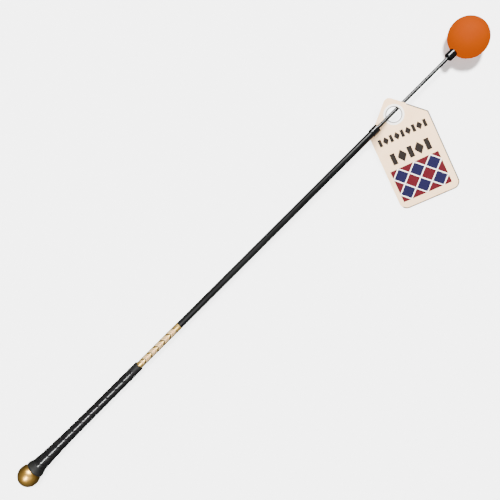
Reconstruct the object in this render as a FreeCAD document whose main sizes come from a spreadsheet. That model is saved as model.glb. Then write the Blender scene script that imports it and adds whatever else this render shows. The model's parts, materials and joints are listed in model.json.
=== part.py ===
"""Flexible swing trainer stick: weighted ball on a whippy rod, wrapped grip and brass counterweight.

Every turned piece is drawn along the stick's own axis, +X from the counterweight's centre to the
head ball's centre, and then laid on the surface: the two balls touch z = 0, so the stick rises a
little towards its larger ball. All sizes are in millimetres and come from the Sizes sheet.
"""

import FreeCAD, Part
import math
import os

import Sketcher
from FreeCAD import Placement, Rotation, Vector

# alias, value, what it is
SIZES = [
    ("overall_length", 1104.9, "end of one ball to end of the other, 43.5 in"),
    ("weight_dia", 38.1, "brass counterweight ball, 1.5 in"),
    ("head_dia", 69.85, "rubber head ball, 2.75 in"),
    ("rod_dia", 6.35, "fibreglass core rod, 1/4 in"),
    ("running_gap", 0.05, "radial clearance round the rod and sleeve at the handle"),
    # counterweight joint
    ("stud_dia", 8, "threaded stud, M8"),
    ("stud_start", 4, "stud end inside the counterweight"),
    ("stud_end", 46, "stud end inside the butt plug"),
    ("weight_hole_start", 3, "bottom of the counterweight's threaded hole"),
    ("seat_plane", 17.6, "flat spot-faced on the counterweight"),
    ("washer_end", 19.4, "far face of the lock washer"),
    ("washer_bore_dia", 8.4, "lock washer bore"),
    # butt plug and handle tube
    ("tube_dia", 14, "handle tube outside"),
    ("tube_start", 24, "butt end of the handle tube"),
    ("tube_end", 264, "mouth end of the handle tube"),
    ("plug_thread_end", 47, "bottom of the plug's threaded hole"),
    ("rod_start", 52, "butt end of the core rod, on the plug's web"),
    ("plug_end", 72, "inner end of the butt plug"),
    ("handle_pin_place", 62, "cross pin through tube, plug and rod"),
    ("handle_pin_dia", 3, "spring pin in the handle"),
    ("pin_shortfall", 0.5, "how much shorter a pin is than the piece it crosses"),
    # grip
    ("tape_thickness", 0.15, "double-sided grip tape"),
    ("tape_start", 26, "tape, butt end"),
    ("tape_end", 262, "tape, mouth end"),
    ("lip_start", 14.5, "butt lip, face round the counterweight"),
    ("lip_end", 17, "butt lip, far side"),
    ("lip_dia", 32, "butt lip outside"),
    ("cup_dia", 25.8, "mouth of the cup that clears the counterweight"),
    ("cup_end", 19, "bottom of the cup"),
    ("wrap_start", 27, "first turn of the wrap"),
    ("wrap_end", 252, "last turn of the wrap"),
    ("wrap_thickness", 0.9, "wrap strip"),
    ("grip_butt_dia", 25.2, "over the wrap at its butt end"),
    ("grip_palm_place", 55, "taper station under the palm"),
    ("grip_palm_dia", 21.9, "over the wrap under the palm"),
    ("grip_finger_place", 95, "taper station under the fingers"),
    ("grip_finger_dia", 18.7, "over the wrap under the fingers"),
    ("grip_mouth_dia", 17, "over the wrap at its mouth end"),
    ("collar_dia", 16.8, "smooth collar at the mouth"),
    ("grip_end", 266.8, "mouth of the grip"),
    ("mouth_bore_dia", 12.6, "hole in the mouth for the sleeve"),
    # sleeve
    ("sleeve_dia", 12.2, "flexible sleeve outside"),
    ("sleeve_bore_dia", 9, "flexible sleeve inside"),
    ("sleeve_start", 206, "sleeve end inside the handle tube"),
    ("sleeve_end", 832, "sleeve end inside its cap"),
    ("bush_length", 20, "each bush that centres the rod"),
    ("band_start", 267, "foil band, handle end"),
    ("band_end", 363.8, "foil band, head end"),
    ("band_dia", 12.5, "foil band outside"),
    ("cap_start", 821.6, "sleeve end cap, handle end"),
    ("cap_end", 836.8, "sleeve end cap, head end"),
    ("cap_dia", 14.6, "sleeve end cap outside"),
    ("cap_round", 1.2, "rounding of the cap's outer edges"),
    # head
    ("ferrule_start", 1001.2, "ferrule bead, handle end"),
    ("ferrule_neck", 1015.6, "where the bead meets the neck"),
    ("ferrule_end", 1022, "ferrule end inside the head ball"),
    ("ferrule_dia", 15, "ferrule bead outside"),
    ("ferrule_neck_dia", 13.4, "ferrule neck outside"),
    ("ferrule_round", 2.6, "rounding of the bead"),
    ("insert_start", 1004, "insert nose, inside the ferrule"),
    ("insert_end", 1068, "insert end inside the head ball"),
    ("insert_dia", 11, "moulded-in insert outside"),
    ("insert_flange_start", 1034, "insert flange, near side"),
    ("insert_flange_end", 1040, "insert flange, far side"),
    ("insert_flange_dia", 18, "insert flange that locks in the rubber"),
    ("rod_end", 1060, "head end of the core rod"),
    ("rod_pin_place", 1052, "cross pin through insert and rod"),
    ("rod_pin_dia", 2.5, "spring pin in the head"),
    # tag
    ("tag_width", 105.6, "card width"),
    ("tag_length", 189.5, "card length from the point of its top corner"),
    ("tag_shoulder", 52, "drop from the top corner to the shoulders"),
    ("tag_thickness", 0.6, "card stock"),
    ("tag_hole_drop", 33.2, "top corner to the middle of the hole"),
    ("tag_hole_dia", 25, "hole that the rod runs through"),
    ("tag_ring_dia", 35, "reinforcing ring outside"),
    ("tag_ring_thickness", 0.2, "reinforcing ring"),
    ("tag_top_round", 9.5, "rounding of the top corner"),
    ("tag_shoulder_round", 3, "rounding of the shoulders"),
    ("tag_foot_round", 13, "rounding of the bottom corners"),
    ("tag_place", 870.9, "where the tag hangs along the stick"),
    ("tag_offset", 3.4, "hole centre to rod axis, sideways"),
    ("tag_lean", 21, "degrees between the card and the rod"),
    ("tag_yaw", 20.4, "degrees the card is turned in its own plane"),
    ("tag_roll", 2.554, "degrees the card is rolled about the rod to stand on its corner"),
]

# lengths that follow from the sheet, as expressions
BALL_SPAN = "Sizes.overall_length - Sizes.weight_dia / 2 - Sizes.head_dia / 2"
ROD_R = "Sizes.rod_dia / 2"
ROD_CLEAR_R = "Sizes.rod_dia / 2 + Sizes.running_gap"
SLEEVE_R = "Sizes.sleeve_dia / 2"
SLEEVE_CLEAR_R = "Sizes.sleeve_dia / 2 + Sizes.running_gap"
SLEEVE_BORE_R = "Sizes.sleeve_bore_dia / 2"
TUBE_R = "Sizes.tube_dia / 2"
TAPE_R = "Sizes.tube_dia / 2 + Sizes.tape_thickness"

OVER_CUT = 20  # how far a cutting cylinder runs past the surface it opens

document = FreeCAD.newDocument("swing_trainer")
sheet = document.addObject("Spreadsheet::Sheet", "Sizes")
for row, (alias, value, note) in enumerate(SIZES, start=1):
    sheet.set(f"A{row}", note)
    sheet.set(f"B{row}", str(value))
    sheet.setAlias(f"B{row}", alias)
document.recompute()


def number(expression):
    """The value of an expression on the sheet, as a plain number."""
    value = sheet.evalExpression(expression)
    return float(getattr(value, "Value", value))


def half(alias):
    """Radius expression of a diameter in the sheet."""
    return f"Sizes.{alias} / 2"


def at(alias):
    """Expression of one cell."""
    return f"Sizes.{alias}"


def origin_plane(body, role):
    return next(f for f in body.Origin.OriginFeatures if f.Role == role)


def new_sketch(body, name, plane="XY_Plane"):
    sketch = body.newObject("Sketcher::SketchObject", name)
    sketch.AttachmentSupport = (origin_plane(body, plane), [""])
    sketch.MapMode = "FlatFace"
    return sketch


def pin_vertex(sketch, edge, end, name, x_expression, y_expression):
    """Tie one sketch point to the origin by two dimensions bound to the sheet."""
    kinds = (("DistanceX", "x", x_expression, -2), ("DistanceY", "y", y_expression, -1))
    for kind, letter, expression, axis in kinds:
        if expression == "0":
            sketch.addConstraint(Sketcher.Constraint("PointOnObject", edge, end, axis))
            continue
        value = number(expression)
        index = sketch.addConstraint(Sketcher.Constraint(kind, -1, 1, edge, end, value))
        sketch.renameConstraint(index, f"{name}_{letter}")
        sketch.setExpression(f"Constraints.{name}_{letter}", expression)


def add_outline(sketch, corners):
    """A closed outline of straight lines whose corners follow the sheet."""
    places = [Vector(number(x), number(y), 0) for x, y in corners]
    lines = [
        sketch.addGeometry(Part.LineSegment(places[k], places[(k + 1) % len(places)]), False)
        for k in range(len(places))
    ]
    for k, line in enumerate(lines):
        following = lines[(k + 1) % len(lines)]
        sketch.addConstraint(Sketcher.Constraint("Coincident", line, 2, following, 1))
    for k, (line, (x, y)) in enumerate(zip(lines, corners)):
        pin_vertex(sketch, line, 1, f"corner{k}", x, y)


def turned(label, corners):
    """A body turned about the stick's axis from (distance along the stick, radius) corners."""
    body = document.addObject("PartDesign::Body", label)
    body.Label = label
    profile = new_sketch(body, f"{label}_profile")
    add_outline(profile, corners)
    turn = body.newObject("PartDesign::Revolution", f"{label}_turn")
    turn.Profile = profile
    turn.ReferenceAxis = (profile, ["H_Axis"])
    turn.Angle = 360
    document.recompute()
    return body


def tube(label, start, end, inner_r, outer_r):
    """A plain ring or tube."""
    return turned(label, [(start, inner_r), (end, inner_r), (end, outer_r), (start, outer_r)])


def rod(label, start, end, radius):
    """A plain solid rod."""
    return turned(label, [(start, "0"), (end, "0"), (end, radius), (start, radius)])


def must_remove(body, before):
    """Stop if a cutting feature left the body's volume as it was."""
    document.recompute()
    if body.Shape.Volume > before - 0.01:
        raise RuntimeError(f"{body.Label}: a cut removed nothing")


def add_circle(sketch, name, place, diameter):
    """A circle on the sketch's X axis whose place and diameter follow the sheet."""
    centre = Vector(number(place), 0, 0)
    circle = sketch.addGeometry(Part.Circle(centre, Vector(0, 0, 1), number(diameter) / 2), False)
    pin_vertex(sketch, circle, 3, name, place, "0")
    index = sketch.addConstraint(Sketcher.Constraint("Diameter", circle, number(diameter)))
    sketch.renameConstraint(index, f"{name}_bore")
    sketch.setExpression(f"Constraints.{name}_bore", diameter)


def cross_hole(body, place, diameter):
    """A round hole straight through the piece, across the stick's axis."""
    before = body.Shape.Volume
    sketch = new_sketch(body, f"{body.Name}_cross")
    add_circle(sketch, "hole", place, diameter)
    pocket = body.newObject("PartDesign::Pocket", f"{body.Name}_cross_cut")
    pocket.Profile = sketch
    pocket.Type = "ThroughAll"
    pocket.Midplane = True
    must_remove(body, before)


def round_rings(body, rings, radius):
    """Fillet the circular edges at the given (distance along the stick, radius) places."""
    base = body.Tip
    names = []
    for place, ring_radius in rings:
        for k, edge in enumerate(base.Shape.Edges, start=1):
            curve = edge.Curve
            if not isinstance(curve, Part.Circle):
                continue
            near = abs(curve.Center.x - number(place)) < 1e-4
            if near and abs(curve.Radius - number(ring_radius)) < 1e-4:
                names.append(f"Edge{k}")
    if len(names) < len(rings):
        raise RuntimeError(f"{body.Label}: an edge to round is missing")
    fillet = body.newObject("PartDesign::Fillet", f"{body.Name}_rounds")
    fillet.Base = (base, names)
    fillet.setExpression("Radius", radius)
    document.recompute()


def cylinder(name, start, length, radius):
    """A cylinder along the stick's axis."""
    item = document.addObject("Part::Cylinder", name)
    item.setExpression("Radius", radius)
    item.setExpression("Height", length)
    item.Placement = Placement(Vector(number(start), 0, 0), Rotation(Vector(0, 1, 0), 90))
    item.setExpression("Placement.Base.x", start)
    return item


def cross_pin(label, place, length, diameter):
    """A pin across the stick's axis, upright and centred on it."""
    body = document.addObject("PartDesign::Body", label)
    body.Label = label
    sketch = new_sketch(body, f"{label}_section")
    add_circle(sketch, "pin", place, diameter)
    pad = body.newObject("PartDesign::Pad", f"{label}_pad")
    pad.Profile = sketch
    pad.Midplane = True
    pad.setExpression("Length", length)
    document.recompute()
    return body


def bored_ball(label, centre, diameter, cuts):
    """A ball with cylinders (start, length, radius) cut out along the stick's axis."""
    ball = document.addObject("Part::Sphere", f"{label}_blank")
    ball.setExpression("Radius", f"{diameter} / 2")
    ball.setExpression("Placement.Base.x", centre)
    solid = ball
    for k, (start, length, radius) in enumerate(cuts, start=1):
        cut = document.addObject("Part::Cut", f"{label}_cut{k}")
        cut.Base = solid
        cut.Tool = cylinder(f"{label}_tool{k}", start, length, radius)
        document.recompute()
        if cut.Shape.Volume > solid.Shape.Volume - 0.01:
            raise RuntimeError(f"{label}: a bore removed nothing")
        solid = cut
    solid.Label = label
    return solid


# ---- handle -------------------------------------------------------------------------------


def make_counterweight_ball():
    hole_length = f"Sizes.weight_dia / 2 - Sizes.weight_hole_start + {OVER_CUT}"
    return bored_ball(
        "counterweight_ball",
        "0",
        at("weight_dia"),
        [
            (at("weight_hole_start"), hole_length, half("stud_dia")),
            (at("seat_plane"), f"{OVER_CUT}", TUBE_R),
        ],
    )


def make_counterweight_stud():
    return rod("counterweight_stud", at("stud_start"), at("stud_end"), half("stud_dia"))


def make_lock_washer():
    return tube(
        "lock_washer", at("seat_plane"), at("washer_end"), half("washer_bore_dia"), TUBE_R
    )


def make_butt_plug():
    thread_r = half("stud_dia")
    plug = turned(
        "butt_plug",
        [
            (at("washer_end"), thread_r),
            (at("plug_thread_end"), thread_r),
            (at("plug_thread_end"), "0"),
            (at("rod_start"), "0"),
            (at("rod_start"), ROD_CLEAR_R),
            (at("plug_end"), ROD_CLEAR_R),
            (at("plug_end"), SLEEVE_CLEAR_R),
            (at("tube_start"), SLEEVE_CLEAR_R),
            (at("tube_start"), TUBE_R),
            (at("washer_end"), TUBE_R),
        ],
    )
    cross_hole(plug, at("handle_pin_place"), at("handle_pin_dia"))
    return plug


def make_handle_tube():
    body = tube("handle_tube", at("tube_start"), at("tube_end"), SLEEVE_CLEAR_R, TUBE_R)
    cross_hole(body, at("handle_pin_place"), at("handle_pin_dia"))
    return body


def make_handle_pin():
    length = "Sizes.tube_dia - Sizes.pin_shortfall"
    return cross_pin("handle_pin", at("handle_pin_place"), length, at("handle_pin_dia"))


def make_grip_tape():
    return tube("grip_tape", at("tape_start"), at("tape_end"), TUBE_R, TAPE_R)


def wrap_outside():
    """Corners over the wrap, butt to mouth."""
    return [
        (at("wrap_start"), half("grip_butt_dia")),
        (at("grip_palm_place"), half("grip_palm_dia")),
        (at("grip_finger_place"), half("grip_finger_dia")),
        (at("wrap_end"), half("grip_mouth_dia")),
    ]


def wrap_inside():
    """The same corners under the wrap."""
    return [(place, f"{radius} - Sizes.wrap_thickness") for place, radius in wrap_outside()]


def make_grip_underlisting():
    """Rubber tube with the cupped butt lip and the mouth collar moulded on."""
    corners = [
        (at("lip_start"), half("cup_dia")),
        (at("lip_start"), half("lip_dia")),
        (at("lip_end"), half("lip_dia")),
        (at("wrap_start"), half("grip_butt_dia")),
        *wrap_inside(),
        (at("wrap_end"), half("collar_dia")),
        (at("grip_end"), half("collar_dia")),
        (at("grip_end"), half("mouth_bore_dia")),
        (at("tube_end"), half("mouth_bore_dia")),
        (at("tube_end"), TAPE_R),
        (at("cup_end"), TAPE_R),
    ]
    return turned("grip_underlisting", corners)


def make_grip_wrap():
    return turned("grip_wrap", [*wrap_inside(), *reversed(wrap_outside())])


def make_label_band():
    return tube("label_band", at("band_start"), at("band_end"), SLEEVE_CLEAR_R, half("band_dia"))


def make_rear_bush():
    """Centres the rod in the sleeve where the sleeve enters the handle."""
    return tube(
        "rear_bush",
        at("sleeve_start"),
        "Sizes.sleeve_start + Sizes.bush_length",
        ROD_CLEAR_R,
        "Sizes.sleeve_bore_dia / 2 - Sizes.running_gap",
    )


# ---- flexible shaft and head --------------------------------------------------------------


def make_sleeve():
    return tube("sleeve", at("sleeve_start"), at("sleeve_end"), SLEEVE_BORE_R, SLEEVE_R)


def make_core_rod():
    body = rod("core_rod", at("rod_start"), at("rod_end"), ROD_R)
    cross_hole(body, at("handle_pin_place"), "Sizes.handle_pin_dia + 2 * Sizes.running_gap")
    cross_hole(body, at("rod_pin_place"), at("rod_pin_dia"))
    return body


def make_front_bush():
    return tube(
        "front_bush",
        "Sizes.sleeve_end - Sizes.bush_length",
        at("sleeve_end"),
        ROD_R,
        SLEEVE_BORE_R,
    )


def make_sleeve_end_cap():
    cap = turned(
        "sleeve_end_cap",
        [
            (at("cap_start"), SLEEVE_R),
            (at("sleeve_end"), SLEEVE_R),
            (at("sleeve_end"), ROD_R),
            (at("cap_end"), ROD_R),
            (at("cap_end"), half("cap_dia")),
            (at("cap_start"), half("cap_dia")),
        ],
    )
    round_rings(cap, [(at("cap_end"), half("cap_dia"))], at("cap_round"))
    return cap


def make_ball_ferrule():
    ferrule = turned(
        "ball_ferrule",
        [
            (at("ferrule_start"), ROD_R),
            (at("insert_start"), ROD_R),
            (at("insert_start"), half("insert_dia")),
            (at("ferrule_end"), half("insert_dia")),
            (at("ferrule_end"), half("ferrule_neck_dia")),
            (at("ferrule_neck"), half("ferrule_neck_dia")),
            (at("ferrule_neck"), half("ferrule_dia")),
            (at("ferrule_start"), half("ferrule_dia")),
        ],
    )
    round_rings(ferrule, [(at("ferrule_start"), half("ferrule_dia"))], at("ferrule_round"))
    return ferrule


def make_ball_insert():
    """Metal insert moulded into the ball, blind at its far end."""
    insert = turned(
        "ball_insert",
        [
            (at("insert_start"), ROD_R),
            (at("rod_end"), ROD_R),
            (at("rod_end"), "0"),
            (at("insert_end"), "0"),
            (at("insert_end"), half("insert_dia")),
            (at("insert_flange_end"), half("insert_dia")),
            (at("insert_flange_end"), half("insert_flange_dia")),
            (at("insert_flange_start"), half("insert_flange_dia")),
            (at("insert_flange_start"), half("insert_dia")),
            (at("insert_start"), half("insert_dia")),
        ],
    )
    cross_hole(insert, at("rod_pin_place"), at("rod_pin_dia"))
    return insert


def make_rod_pin():
    length = "Sizes.insert_dia - Sizes.pin_shortfall"
    return cross_pin("rod_pin", at("rod_pin_place"), length, at("rod_pin_dia"))


def make_head_ball():
    return bored_ball(
        "head_ball",
        BALL_SPAN,
        at("head_dia"),
        [
            (
                f"Sizes.ferrule_end - {OVER_CUT}",
                f"{OVER_CUT}",
                half("ferrule_neck_dia"),
            ),
            (
                "Sizes.ferrule_end",
                "Sizes.insert_end - Sizes.ferrule_end",
                half("insert_dia"),
            ),
            (
                "Sizes.insert_flange_start",
                "Sizes.insert_flange_end - Sizes.insert_flange_start",
                half("insert_flange_dia"),
            ),
        ],
    )


# ---- tag ----------------------------------------------------------------------------------


def make_tag_card():
    """Card with a pointed top, drawn with the middle of its hole at the origin, top towards +Y."""
    body = document.addObject("PartDesign::Body", "tag_card")
    body.Label = "tag_card"
    outline = new_sketch(body, "tag_outline")
    top = at("tag_hole_drop")
    shoulder = "Sizes.tag_hole_drop - Sizes.tag_shoulder"
    foot = "Sizes.tag_hole_drop - Sizes.tag_length"
    side = half("tag_width")
    other_side = "-Sizes.tag_width / 2"
    corners = [("0", top), (side, shoulder), (side, foot), (other_side, foot), (other_side, shoulder)]
    add_outline(outline, corners)
    radius = number(half("tag_hole_dia"))
    hole = outline.addGeometry(Part.Circle(Vector(0, 0, 0), Vector(0, 0, 1), radius), False)
    outline.addConstraint(Sketcher.Constraint("Coincident", hole, 3, -1, 1))
    index = outline.addConstraint(Sketcher.Constraint("Diameter", hole, 2 * radius))
    outline.renameConstraint(index, "hole")
    outline.setExpression("Constraints.hole", at("tag_hole_dia"))
    pad = body.newObject("PartDesign::Pad", "tag_pad")
    pad.Profile = outline
    pad.Midplane = True
    pad.setExpression("Length", at("tag_thickness"))
    document.recompute()
    for name, heights, radius_cell in (
        ("top", [top], "tag_top_round"),
        ("shoulder", [shoulder], "tag_shoulder_round"),
        ("foot", [foot], "tag_foot_round"),
    ):
        round_upright_edges(body, f"tag_{name}_rounds", heights, at(radius_cell))
    return body


def round_upright_edges(body, name, heights, radius):
    """Fillet the card's edges that run through its thickness at the given heights."""
    base = body.Tip
    wanted = [number(height) for height in heights]
    names = []
    for k, edge in enumerate(base.Shape.Edges, start=1):
        if not isinstance(edge.Curve, Part.Line) or len(edge.Vertexes) < 2:
            continue
        first, last = (vertex.Point for vertex in edge.Vertexes)
        through = (last - first).cross(Vector(0, 0, 1)).Length < 1e-6
        if through and any(abs(first.y - height) < 1e-4 for height in wanted):
            names.append(f"Edge{k}")
    if not names:
        raise RuntimeError(f"{name}: no edge to round")
    fillet = body.newObject("PartDesign::Fillet", name)
    fillet.Base = (base, names)
    fillet.setExpression("Radius", radius)
    document.recompute()


def make_tag_ring():
    """Thin ring stuck round the hole on the card's upper face."""
    body = document.addObject("PartDesign::Body", "tag_ring")
    body.Label = "tag_ring"
    circles = new_sketch(body, "tag_ring_circles")
    for name, cell in (("inner", "tag_hole_dia"), ("outer", "tag_ring_dia")):
        radius = number(half(cell))
        circle = circles.addGeometry(Part.Circle(Vector(0, 0, 0), Vector(0, 0, 1), radius), False)
        circles.addConstraint(Sketcher.Constraint("Coincident", circle, 3, -1, 1))
        index = circles.addConstraint(Sketcher.Constraint("Diameter", circle, 2 * radius))
        circles.renameConstraint(index, name)
        circles.setExpression(f"Constraints.{name}", at(cell))
    circles.setExpression("AttachmentOffset.Base.z", "Sizes.tag_thickness / 2")
    pad = body.newObject("PartDesign::Pad", "tag_ring_pad")
    pad.Profile = circles
    pad.setExpression("Length", at("tag_ring_thickness"))
    document.recompute()
    return body


# ---- assembly -----------------------------------------------------------------------------

ON_STICK = [
    make_counterweight_ball(),
    make_counterweight_stud(),
    make_lock_washer(),
    make_butt_plug(),
    make_handle_tube(),
    make_handle_pin(),
    make_grip_tape(),
    make_grip_underlisting(),
    make_grip_wrap(),
    make_label_band(),
    make_rear_bush(),
    make_sleeve(),
    make_core_rod(),
    make_front_bush(),
    make_sleeve_end_cap(),
    make_ball_ferrule(),
    make_ball_insert(),
    make_rod_pin(),
    make_head_ball(),
]
ON_TAG = [make_tag_card(), make_tag_ring()]
document.recompute()


def tag_placement():
    """Yaw in the card's plane, lean up towards the head, slip sideways, then roll about the rod."""
    yaw = Rotation(Vector(0, 0, 1), -number("Sizes.tag_yaw"))
    lean = Rotation(Vector(0, 1, 0), -number("Sizes.tag_lean"))
    roll = Rotation(Vector(1, 0, 0), -number("Sizes.tag_roll"))
    slip = Vector(0, -number("Sizes.tag_offset"), 0)
    hang = Placement(Vector(number("Sizes.tag_place"), 0, 0), roll)
    return hang * Placement(slip, lean * yaw)


def stick_placement():
    """Lay the stick's axis so that both balls touch the surface."""
    small = number(half("weight_dia"))
    large = number(half("head_dia"))
    tilt = math.degrees(math.asin((large - small) / number(BALL_SPAN)))
    return Placement(Vector(0, 0, small), Rotation(Vector(0, 1, 0), -tilt))


def located(shape, placement):
    """A copy of a shape carried by a placement on top of the one it has."""
    moved = shape.copy()
    moved.Placement = placement * moved.Placement
    return moved


def centring_shift(shapes):
    """The shift in X and Y that brings the middle of the whole box over the origin."""
    box = FreeCAD.BoundBox()
    for shape in shapes:
        box.add(shape.optimalBoundingBox(False))
    return Placement(Vector(-box.Center.x, -box.Center.y, 0), Rotation())


laid = stick_placement()
carriers = [(piece, laid) for piece in ON_STICK]
carriers += [(piece, laid * tag_placement()) for piece in ON_TAG]
shift = centring_shift([located(piece.Shape, carrier) for piece, carrier in carriers])
for piece, carrier in carriers:
    piece.Placement = shift * carrier
document.recompute()

# ---- checks and export --------------------------------------------------------------------

for item in document.Objects:
    if {"Invalid", "Error"} & set(item.State):
        raise RuntimeError(f"{item.Name} did not compute: {item.State}")
for piece, carrier in carriers:
    shape = piece.Shape
    if shape.isNull() or not shape.isValid() or len(shape.Solids) != 1:
        raise RuntimeError(f"{piece.Label} is not one valid solid")

os.makedirs("parts", exist_ok=True)
for piece, carrier in carriers:
    piece.Shape.exportStep(f"parts/{piece.Label}.step")
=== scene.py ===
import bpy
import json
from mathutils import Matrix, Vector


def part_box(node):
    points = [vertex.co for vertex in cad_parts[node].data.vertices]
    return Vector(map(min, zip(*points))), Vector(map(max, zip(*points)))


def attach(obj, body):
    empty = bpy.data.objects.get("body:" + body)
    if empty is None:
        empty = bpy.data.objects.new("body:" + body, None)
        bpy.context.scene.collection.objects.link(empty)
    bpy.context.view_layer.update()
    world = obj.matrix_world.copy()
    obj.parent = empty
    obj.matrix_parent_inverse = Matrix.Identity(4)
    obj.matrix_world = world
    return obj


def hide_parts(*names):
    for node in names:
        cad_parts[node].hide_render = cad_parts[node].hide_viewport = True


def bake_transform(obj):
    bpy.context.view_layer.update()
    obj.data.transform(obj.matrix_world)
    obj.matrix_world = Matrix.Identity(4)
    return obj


bl_info = {
    "name": "Swing Trainer Stick",
    "version": (1, 0, 0),
    "blender": (4, 5, 0),
    "location": "3D View > Sidebar > Swing Stick",
    "description": "Builds the stick's balls, grip, shaft, tag and studio round its packed frame",
    "category": "Object",
}

import json
import math

import bmesh
import bpy
import numpy as np

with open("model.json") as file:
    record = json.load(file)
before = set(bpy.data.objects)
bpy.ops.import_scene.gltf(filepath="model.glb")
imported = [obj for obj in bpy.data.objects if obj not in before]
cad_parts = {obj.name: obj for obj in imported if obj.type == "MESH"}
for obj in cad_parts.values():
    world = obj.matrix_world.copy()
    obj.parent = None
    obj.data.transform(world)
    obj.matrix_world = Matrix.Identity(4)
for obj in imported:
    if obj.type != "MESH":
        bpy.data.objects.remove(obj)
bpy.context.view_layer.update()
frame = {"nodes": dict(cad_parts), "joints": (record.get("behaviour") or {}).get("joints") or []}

MM = 0.001
TURN = 2 * math.pi
WELD = 1e-7  # points nearer than this are one point, in metres


# ---- the stick's own directions, read from the frame ----------------------------------------

BUTT_RADIUS = 19.05 * MM
HEAD_RADIUS = 34.925 * MM


def ball_centre(node, radius, side):
    """Middle of a ball whose box is full everywhere but at the side where the shaft goes in.

    side is -1 for the ball that reaches furthest towards -X and 1 for the one towards +X."""
    low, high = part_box(node)
    outer = high.x if side > 0 else low.x
    return np.array([outer - side * radius, (low.y + high.y) / 2, radius])


BUTT_CENTRE = ball_centre("counterweight_ball", BUTT_RADIUS, -1)
HEAD_CENTRE = ball_centre("head_ball", HEAD_RADIUS, 1)
SPAN = float(np.linalg.norm(HEAD_CENTRE - BUTT_CENTRE))
ALONG = (HEAD_CENTRE - BUTT_CENTRE) / SPAN
SIDE = np.array([0.0, 1.0, 0.0])
UP = np.cross(ALONG, SIDE)


def on_stick(along, side, up):
    """Row-frame points: the butt ball's centre plus along, side and up times the stick's directions."""
    steps = np.stack(np.broadcast_arrays(along, side, up), axis=-1)
    return BUTT_CENTRE + steps @ np.stack([ALONG, SIDE, UP])


# ---- sizes and colours ----------------------------------------------------------------------


def length(label, millimetres, about):
    """A length property. The default is given in millimetres and kept in metres."""
    return bpy.props.FloatProperty(
        name=label, description=about, default=millimetres * MM, unit="LENGTH", precision=5
    )


def colour(label, red, green, blue, about):
    """A colour property with linear red, green and blue."""
    return bpy.props.FloatVectorProperty(
        name=label, description=about, default=(red, green, blue), size=3, min=0, max=1,
        subtype="COLOR",
    )


def plain(label, value, about):
    """A property that is a bare number."""
    return bpy.props.FloatProperty(name=label, description=about, default=value)


def angle(label, degrees, about):
    """An angle property. The default is given in degrees and kept in radians."""
    return bpy.props.FloatProperty(
        name=label, description=about, default=math.radians(degrees), unit="ROTATION"
    )


class BallSizes(bpy.types.PropertyGroup):
    """The brass counterweight and the rubber head ball."""

    seat: length("Seat flat", 17.6, "Butt ball's centre to the flat that seats on the washer")
    stud_radius: length("Stud radius", 4, "Hole for the stud")
    stud_depth: length("Stud hole end", 3, "Butt ball's centre to the bottom of the stud hole")
    brass: colour("Brass", 0.80, 0.46, 0.10, "Satin turned brass")
    brass_dark: colour("Dull brass", 0.62, 0.345, 0.070, "Handled and shaded brass")
    rubber: colour("Head rubber", 0.075, 0.0105, 0.0, "Orange rubber")
    # Painted glow: this colour and its strength make the head ball give off light of its own, which evens out its
    # shading.
    painted_glow: colour("Painted glow", 1.0, 0.145, 0.0, "Light given off by the head rubber's dye")
    painted_glow_strength: plain("Dye strength", 0.66, "How strongly the dye shines")
    rubber_deep: colour("Head rubber, deep", 0.066, 0.0088, 0.0, "Orange rubber where it is denser")


class GripSizes(bpy.types.PropertyGroup):
    """The rubber grip and the strip wound round it."""

    lip_start: length("Lip face", 14.5, "Butt lip's face, from the butt ball's centre")
    lip_end: length("Lip back", 17, "Butt lip's far side")
    lip_radius: length("Lip radius", 16, "Butt lip outside")
    cup_radius: length("Cup radius", 12.9, "Cup that clears the butt ball")
    cup_end: length("Cup bottom", 19, "Bottom of the cup")
    bore_radius: length("Bore radius", 7.15, "Bore over the tape")
    wrap_start: length("Wrap start", 27, "Butt end of the wound strip")
    wrap_end: length("Wrap end", 252, "Mouth end of the wound strip")
    butt_radius: length("Butt radius", 12.6, "Over the wrap at its butt end")
    mouth_radius: length("Mouth radius", 8.45, "Over the wrap at its mouth end")
    taper: length("Taper length", 48, "Distance in which the flare falls to 37 percent")
    strip: length("Strip", 0.9, "Thickness of the strip")
    pitch: length("Pitch", 19.8, "Distance along the grip of one turn")
    collar_radius: length("Collar radius", 8.4, "Smooth collar at the mouth")
    end: length("Grip end", 266.8, "Mouth of the grip")
    bore_end: length("Bore end", 264, "End of the bore over the tube")
    mouth_bore: length("Mouth bore", 6.3, "Hole for the sleeve")
    # Painted sheen: the lip is black rubber, and this paler colour stands in for a pale sheen on it.
    lip: colour("Lip grey", 0.012, 0.012, 0.010, "Butt lip, rubbed to grey")
    rubber: colour("Grip rubber", 0.0045, 0.0045, 0.0045, "Black grip rubber")
    worn: colour("Worn rubber", 0.016, 0.016, 0.015, "Rubber rubbed grey")


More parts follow.
